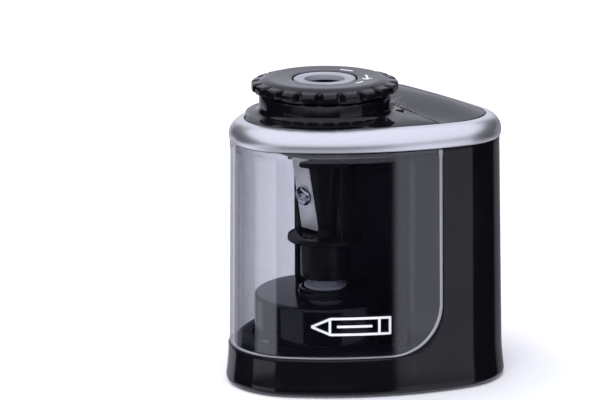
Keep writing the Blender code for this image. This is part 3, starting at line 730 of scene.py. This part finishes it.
def lugged(root, tip, z):
    """A ring round the knob: the lugs' faces stand at tip and the notches between them at root."""
    points = []
    for i in range(LUGS * PER_LUG):
        side = abs((i % PER_LUG) / PER_LUG - 0.5) * 2
        fall = min(max((side - LUG_FACE) / LUG_ROUND, 0.0), 1.0)
        radius = tip + (root - tip) * fall * fall * (3 - 2 * fall)
        turn = 2 * math.pi * i / (LUGS * PER_LUG)
        points.append((radius * math.sin(turn), axis_y - radius * math.cos(turn), z))
    return points


rings = [round_ring(20.5 * MM, z, LUGS * PER_LUG) for z in (knob_low, knob_low + 0.75 * MM)]
lugs = (  # root and tip of the lugs, and how far each ring lies below the knob's top
    (20.7, 22.7, 3.92), (20.95, 23.2, 3.84), (21.0, 23.5, 3.55), (21.0, 23.5, 2.10),
    (20.95, 23.38, 1.65), (20.9, 23.05, 1.32), (20.8, 22.4, 1.10), (20.7, 21.7, 0.98),
)
rings += [lugged(root * MM, tip * MM, knob_top - drop * MM) for root, tip, drop in lugs]
disc = (  # radius and drop of the top, from its rounded rim to the seat of the bush
    (20.55, 0.84), (20.2, 0.64), (19.7, 0.38), (19.1, 0.17), (18.4, 0.04), (17.7, 0.0), (17.0, 0.03),
    (15.0, 0.16), (13.0, 0.24), (10.95, 0.26), (10.65, 0.34), (10.45, 0.6), (10.45, 2.5), (9.0, 2.5),
)
rings += [round_ring(radius * MM, knob_top - drop * MM, LUGS * PER_LUG) for radius, drop in disc]
under = knob_low - 1.5 * MM
skirt = ((9.0, under), (12.3, under), (12.3, skirt_z), (14.0, skirt_z), (14.0, knob_low))
rings += [round_ring(radius * MM, z, LUGS * PER_LUG) for radius, z in skirt]
piece("lugged_knob", sweep(rings, closed=True), "knob", black_gloss, ["knob"], sharp=38)


def turned(name, profile, body, finish, replaces=(), steps=96, sharp=35):
    """A piece spun about the cutter's axis from a closed profile of radius and height."""
    bm = bmesh.new()
    verts = [bm.verts.new((radius, axis_y, z)) for radius, z in profile]
    edges = [bm.edges.new((vert, verts[i - 1])) for i, vert in enumerate(verts)]
    whole = {"cent": (0.0, axis_y, 0.0), "axis": (0.0, 0.0, 1.0), "angle": 2 * math.pi, "use_merge": True}
    bmesh.ops.spin(bm, geom=verts + edges, steps=steps, **whole)
    bmesh.ops.remove_doubles(bm, verts=bm.verts, dist=1e-7)
    return piece(name, bm, body, finish, replaces, sharp)


KNOB_MARKS = ((12, 28), (43, 72), (104, 124))  # bearings of each arc of ink, from the plan's right side
MARK_R = 13.6 * MM
DISH, DISH_R, DISH_RISE = 0.24 * MM, 13.0 * MM, 0.04  # drop of the top at a radius, and its slope outwards


def on_knob(point, lift):
    """A point on the knob's top, from a distance round the marks' circle and one outwards."""
    turn, radius = point.x / MARK_R, MARK_R + point.y
    top = knob_top - DISH + DISH_RISE * (radius - DISH_R)
    return (radius * math.cos(turn), axis_y + radius * math.sin(turn), top + lift)


round_by = MARK_R / MM  # millimetres round the circle for each radian
arcs = [tuple((math.radians(end) * round_by, 0.0) for end in pair) for pair in KNOB_MARKS]
tip = math.radians(KNOB_MARKS[1][0]) * round_by  # the middle arc ends in an arrowhead
arcs += [((tip - 0.3, 0.15), (tip + 1.7, 1.5)), ((tip - 0.3, -0.15), (tip + 1.7, -1.5))]
printed("knob_marks", arcs, on_knob, "knob")

light_grey = moulded("light_grey_abs", (0.27, 0.27, 0.305), 0.34, haze=0.12, grain=0.06)
bush_low, bush_top = (corner.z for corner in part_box("knob_insert"))
profile = [
    (HOLE_R, bush_low),
    (BUSH_R, bush_low),
    (BUSH_R, bush_top - 0.25 * MM),
    (BUSH_R - 0.25 * MM, bush_top),
    (HOLE_R + 0.6 * MM, bush_top),
    (HOLE_R + 0.15 * MM, bush_top - 0.2 * MM),
    (HOLE_R, bush_top - 0.7 * MM),
]
turned("pencil_bush", profile, "knob", light_grey, ["knob_insert"])


# Gearbox cover: a black ABS drum over the gears on a flat deck that fills the base. Its lid has a rim
# round the press collar's hole, and its wall a hole for the bin switch.

black_satin = moulded("satin_black_abs", (0.005, 0.005, 0.007), 0.38, haze=0.1, grain=0.12, mirror=1.36)
deck_z, drum_z = (corner.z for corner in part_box("gearbox_cover"))
DECK = 0.6 * MM
LID = 1.6 * MM
DRUM_ROUND = 1.2 * MM
profile = [(DRUM_R, deck_z + DECK)]
for i in range(9):
    turn = math.radians(11.25 * i)
    radius = DRUM_R - DRUM_ROUND * (1 - math.cos(turn))
    profile.append((radius, drum_z - DRUM_ROUND * (1 - math.sin(turn))))
rim = (  # radius and lift of the rim round the hole
    (8.9, 0.0), (8.6, 0.3), (8.5, 1.5), (8.2, 1.7), (7.6, 1.7), (7.4, 1.4), (7.4, -0.3), (6.3, -0.6),
)
profile += [(radius * MM, drum_z + lift * MM) for radius, lift in rim]
profile += [(6.3 * MM, drum_z - LID), (DRUM_R - WALL, drum_z - LID), (DRUM_R - WALL, deck_z + DECK)]
drum = turned("gearbox_drum", profile, "housing", black_gloss, ["gearbox_cover"], steps=144)
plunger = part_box("bin_switch_plunger")
HOLE_GAP = 0.3 * MM
low, high = (corner + HOLE_GAP * way * Vector((1, 0, 1)) for corner, way in zip(plunger, (-1, 1)))
hole = [(low.x, low.z), (high.x, low.z), (high.x, high.z), (low.x, high.z)]
cut(drum, prism(hole, low.y - 2.0 * MM, high.y - 1.0 * MM, axis=1))
DECK_BACK = 19.5 * MM
DECK_IN = 2.8 * MM
edge_of_deck = [(x, min(y, axis_y + DECK_BACK)) for x, y, _ in egg(-DECK_IN, 0.0)]
rings = [[(x, y, z) for x, y in edge_of_deck] for z in (deck_z, deck_z + DECK)]
rings += [round_ring(DRUM_R - WALL / 2, z) for z in (deck_z + DECK, deck_z)]
piece("gearbox_deck", sweep(rings, closed=True), "housing", black_satin, ["gearbox_cover"])


# Press collar: a light grey ABS sleeve with two flanges that the cutter's hub stands on. It slides down
# the spindle with the cutter when a pencil is pushed in.

collar_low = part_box("press_collar")[0].z
sleeve = (  # radius and lift
    (3.2, 0.0), (7.0, 0.0), (7.0, 1.0), (6.8, 1.2), (5.5, 1.3), (5.3, 1.6), (5.3, 8.8), (5.5, 9.1),
    (6.7, 9.2), (6.8, 9.3), (6.8, 9.9), (6.6, 10.1), (5.3, 10.2), (5.3, 12.1), (5.1, 12.3), (3.2, 12.3),
)
profile = [(radius * MM, collar_low + lift * MM) for radius, lift in sleeve]
turned("press_sleeve", profile, "press", light_grey, ["press_collar"])


# Cutter: a smoky polycarbonate cage. A hub and flange below, a cone guide between two posts, and a flange
# with a notched collar above. It turns as one with its blade.

smoky = moulded("smoky_black_polycarbonate", (0.006, 0.005, 0.005), 0.16, haze=0.06, grain=0.02, mirror=1.24)
CAGE_TURN = math.radians(7.1)
BLADE_LEAN = math.radians(9.5)
BLADE_OUT, BLADE_MIDDLE = 5.2 * MM, 61.0  # how far out of the axis the blade's face lies, and its height
HUB_FOOT = 32.6  # the hub's lower face on the drawing, in millimetres above the desk
hub_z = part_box("cutter_body")[0].z


def at(z):
    """A height on the cutter, from the drawing's millimetres above the desk."""
    return hub_z + (z - HUB_FOOT) * MM


blade_seat = Matrix.Translation((0.0, axis_y, 0.0)) @ Matrix.Rotation(CAGE_TURN, 4, "Z")
blade_seat = blade_seat @ Matrix.Translation((0.0, -BLADE_OUT, at(BLADE_MIDDLE)))
blade_seat = blade_seat @ Matrix.Rotation(BLADE_LEAN, 4, "X")
BLADE_ROOM = ((-9.5, -14.0, -14.2), (1.4, 0.65, 13.5))  # cut away round the blade, on its own axes
CONE_SLIT = ((-1.3, -14.0, -9.0), (1.5, 2.4, 10.0))  # lets the blade's edge reach the pencil


def by_blade(low, high):
    """A box on the blade's own axes: across it, out of its face, and along it."""
    low, high = Vector(low) * MM, Vector(high) * MM
    bm = prism([(low.x, low.y), (high.x, low.y), (high.x, high.y), (low.x, high.y)], low.z, high.z)
    bmesh.ops.transform(bm, matrix=blade_seat, verts=bm.verts)
    return bm


hub_and_cone = (  # radius and height
    (1.6, 32.6), (7.6, 32.6), (8.0, 33.0), (8.0, 43.2), (8.4, 44.3), (9.4, 44.7), (11.8, 44.7), (12.2, 45.1),
    (12.2, 46.3), (11.8, 46.7), (5.2, 46.7), (4.6, 47.6), (4.6, 50.0), (8.4, 70.5), (6.0, 70.4), (1.6, 50.0),
)
profile = [(radius * MM, at(z)) for radius, z in hub_and_cone]
cone = turned("cutter_cone", profile, "cutter", smoky, ["cutter_body"], sharp=50)
cut(cone, by_blade(*BLADE_ROOM))
cut(cone, by_blade(*CONE_SLIT))
soften(cone, 0.15 * MM)

flange_and_collar = (
    (6.2, 70.5), (11.8, 70.5), (12.2, 70.9), (12.2, 71.9), (11.8, 72.3), (7.4, 72.3),
    (6.9, 72.8), (6.9, 78.8), (6.7, 79.0), (5.5, 79.0), (5.3, 78.8), (5.3, 72.5),
)
profile = [(radius * MM, at(z)) for radius, z in flange_and_collar]
crown = turned("cutter_crown", profile, "cutter", smoky, ["cutter_body"])
cut(crown, by_blade(*BLADE_ROOM))
NOTCH_HALF, NOTCH_FROM, NOTCH_TO = 1.1 * MM, 4.0 * MM, 9.0 * MM
NOTCH_FLOOR, OVER_CROWN = 76.6, 80.0
notch = [(-NOTCH_HALF, NOTCH_FROM), (NOTCH_HALF, NOTCH_FROM), (NOTCH_HALF, NOTCH_TO), (-NOTCH_HALF, NOTCH_TO)]
for quarter in range(4):
    bm = prism(notch, at(NOTCH_FLOOR), at(OVER_CROWN))
    spun = Matrix.Rotation(CAGE_TURN + math.radians(45 + 90 * quarter), 3, "Z")
    bmesh.ops.rotate(bm, cent=(0, 0, 0), matrix=spun, verts=bm.verts)
    bmesh.ops.translate(bm, vec=(0.0, axis_y, 0.0), verts=bm.verts)
    cut(crown, bm)
soften(crown, 0.15 * MM)

POST_NEAR, POST_FAR, POST_HALF = 8.6 * MM, 11.4 * MM, 3.0 * MM
POST_FOOT, POST_TOP = 45.7, 71.4
cage_spun = Matrix.Rotation(CAGE_TURN, 3, "Z")
for side, name in ((-1, "left"), (1, "right")):
    near, far = sorted((side * POST_NEAR, side * POST_FAR))
    outline = [(near, -POST_HALF), (far, -POST_HALF), (far, POST_HALF), (near, POST_HALF)]
    bm = prism(outline, at(POST_FOOT), at(POST_TOP))
    bmesh.ops.rotate(bm, cent=(0, 0, 0), matrix=cage_spun, verts=bm.verts)
    bmesh.ops.translate(bm, vec=(0.0, axis_y, 0.0), verts=bm.verts)
    post = piece(f"cutter_post_{name}", bm, "cutter", smoky, ["cutter_body"])
    soften(post, 0.6 * MM, segments=3)


# Blade: a ground steel plate with a bevelled cutting edge, held on the cone by one chromed pan-head screw
# with a cross recess.


def metal(name, colour, roughness, stretch=(400.0, 400.0, 400.0), scratch=0.2, bare=1.0):
    """Bare metal: fine marks drawn out along one way, in gloss, tone and relief."""
    finish, shader, place = new_finish(name)
    drawn = shader.node("Mapping", _0=place, Scale=stretch)
    marks = shader.node("TexNoise", Vector=drawn, Scale=1.0, Detail=5.0)
    cloud = shader.node("TexNoise", Vector=place, Scale=180.0, Detail=3.0)
    surface = shader.node(
        "BsdfPrincipled",
        Base_Color=shader.blend(marks * 0.6 + cloud * 0.4, [0.72 * value for value in colour], colour),
        Metallic=bare,
        Roughness=marks * 0.15 + (cloud - 0.5) * 0.08 + (roughness - 0.07),
        Normal=shader.node("Bump", Strength=scratch, Distance=0.0001, Height=marks),
    )
    shader.node("OutputMaterial", Surface=surface)
    return finish


GROUND_ACROSS = (300.0, 300.0, 4200.0)  # the grinding marks run across the plate
blade_steel = metal("ground_blade_steel", (1.0, 1.0, 0.98), 0.46, GROUND_ACROSS, scratch=0.06, bare=0.25)
plate = ((-7.6, -0.45), (-0.1, -0.45), (0.4, 0.28), (0.4, 0.35), (-7.6, 0.35))  # its cross-section
BLADE_FOOT, BLADE_TIP = -13.2 * MM, 12.0 * MM
bm = prism([(x * MM, y * MM) for x, y in plate], BLADE_FOOT, BLADE_TIP)
bmesh.ops.transform(bm, matrix=blade_seat, verts=bm.verts)
blade = piece("steel_blade", bm, "cutter", blade_steel, ["cutter_blade"])
soften(blade, 0.12 * MM, harden=True)

chrome = metal("chromed_screw", (0.92, 0.92, 0.94), 0.14, stretch=(900.0, 900.0, 900.0), scratch=0.05)
SCREW_ACROSS, SCREW_ALONG = -3.6 * MM, -1.5 * MM
pan_head = (  # radius, and how far out of the blade's face
    (0.0, -2.7), (1.2, -2.62), (2.2, -2.35), (2.95, -1.9), (3.3, -1.25), (3.3, -0.85), (3.2, -0.75),
    (0.0, -0.75),
)
bm = bmesh.new()
verts = [bm.verts.new((radius * MM, y * MM, 0.0)) for radius, y in pan_head]
edges = [bm.edges.new(pair) for pair in zip(verts, verts[1:])]
whole = {"cent": (0, 0, 0), "axis": (0, 1, 0), "angle": 2 * math.pi, "use_merge": True}
bmesh.ops.spin(bm, geom=verts + edges, steps=48, **whole)
bmesh.ops.remove_doubles(bm, verts=bm.verts, dist=1e-7)
into_place = blade_seat @ Matrix.Translation((SCREW_ACROSS, 0.0, SCREW_ALONG))
bmesh.ops.transform(bm, matrix=into_place, verts=bm.verts)
screw = piece("blade_fixing", bm, "cutter", chrome, ["blade_screw"])
RECESS_LONG, RECESS_WIDE = 1.9, 0.42
RECESS_FROM, RECESS_TALL, RECESS_TAPER = -3.2, 1.5 * MM, 0.55
for turn in (35, 125):  # the two arms of the recess, narrower at its floor
    arm = [(-RECESS_LONG, -RECESS_WIDE), (RECESS_LONG, -RECESS_WIDE), (RECESS_LONG, RECESS_WIDE)]
    arm.append((-RECESS_LONG, RECESS_WIDE))
    spun = Matrix.Rotation(math.radians(turn), 3, "Y")
    bm = bmesh.new()
    verts = [bm.verts.new((x * MM, RECESS_FROM * MM, z * MM)) for x, z in arm]
    swept = bmesh.ops.extrude_face_region(bm, geom=[bm.faces.new(verts)])["geom"]
    tips = [item for item in swept if isinstance(item, bmesh.types.BMVert)]
    bmesh.ops.translate(bm, vec=(0.0, RECESS_TALL, 0.0), verts=tips)
    bmesh.ops.scale(bm, vec=(RECESS_TAPER, 1.0, RECESS_TAPER), verts=tips)
    bmesh.ops.rotate(bm, cent=(0, 0, 0), matrix=spun, verts=bm.verts)
    bmesh.ops.transform(bm, matrix=into_place, verts=bm.verts)
    cut(screw, bm)
soften(screw, 0.08 * MM, segments=1)


# Return spring: an open coil of spring wire round the spindle. It stands on the gearbox and pushes the
# press collar up. Here it keeps its modelled shape and stays with the housing.

spring_steel = metal("spring_wire", (0.55, 0.55, 0.56), 0.32)
bm = bmesh.new()
bm.from_mesh(frame["nodes"]["return_spring"].data)
bmesh.ops.remove_doubles(bm, verts=bm.verts, dist=1e-7)
coil = piece("coil_spring", bm, "housing", spring_steel, ["return_spring"])
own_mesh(coil)


# Chamber liner: the black ABS wall behind the cutter, moulded as modelled. It lies in the bin's shade, so
# it has its own copy of the satin black with its gloss turned low and its colour painted darker as shade.

painted_shade_liner = moulded("painted_shade_liner_black", (0.004, 0.004, 0.005), 0.50, haze=0.1, grain=0.1, mirror=1.10)
OWN_FINISH = {"chamber_liner": painted_shade_liner}  # a node that doesn't take its slot's usual finish


# Everything else keeps its modelled shape: the base and its doors, the drive, the motor, the cells and
# their contacts. Each gets the finish of its own stuff.

steel = metal("turned_steel", (0.62, 0.62, 0.63), 0.30)
plated_can = metal("zinc_plated_can", (0.56, 0.57, 0.58), 0.36)
brass = metal("brass_bush", (0.80, 0.58, 0.28), 0.30)
copper = metal("copper_winding", (0.78, 0.36, 0.20), 0.38, stretch=(200.0, 200.0, 6000.0), scratch=0.5)
nylon = moulded("white_nylon", (0.62, 0.60, 0.54), 0.42, haze=0.1, grain=0.08)
ferrite = moulded("ferrite_magnet", (0.030, 0.028, 0.028), 0.62, haze=0.1, grain=0.3)
rubber = moulded("soft_rubber", (0.020, 0.020, 0.021), 0.75, haze=0.1, grain=0.35)
cell_wrap = moulded("printed_cell_wrap", (0.030, 0.075, 0.20), 0.28, haze=0.06, grain=0.04)
FINISHES = {  # by the record's material slots
    "gloss_black": black_gloss,
    "satin_black": black_satin,
    "light_grey": light_grey,
    "smoke_clear": smoke_clear,
    "smoke_black": smoky,
    "silver_paint": satin_silver,
    "steel": steel,
    "spring_steel": spring_steel,
    "motor_steel": plated_can,
    "brass": brass,
    "copper": copper,
    "nylon": nylon,
    "ferrite": ferrite,
    "rubber": rubber,
    "cell_wrap": cell_wrap,
}
for part in frame["record"]["subparts"]:
    node = frame["nodes"].get(part["node"])
    if node:
        finish = OWN_FINISH.get(part["node"], FINISHES[part["material_slot"]])
        node.data.materials.clear()
        node.data.materials.append(finish)
